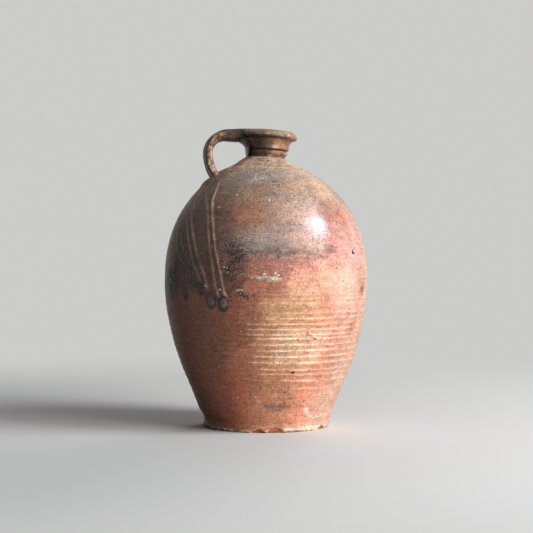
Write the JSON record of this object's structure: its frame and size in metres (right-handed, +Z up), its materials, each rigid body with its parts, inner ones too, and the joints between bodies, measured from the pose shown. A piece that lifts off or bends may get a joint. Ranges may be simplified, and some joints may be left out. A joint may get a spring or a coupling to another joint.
{
  "type": "jug",
  "caption": "Tall wheel-thrown stoneware jug with a narrow mouth that takes a cork, and one strap handle from rim to shoulder.",
  "frame": {"origin": "centre of the foot, on the surface that the jug stands on", "axes": "+Z up the body's axis, -X towards the handle, -Y towards the side that shows the glaze runs"},
  "size_m": [0.2404, 0.2404, 0.3517],
  "materials": {
    "stoneware": "salt-glazed, orange-brown with grey ash bloom, satin"
  },
  "bodies": {
    "root": {"jug": "stoneware"}
  },
  "joints": []
}
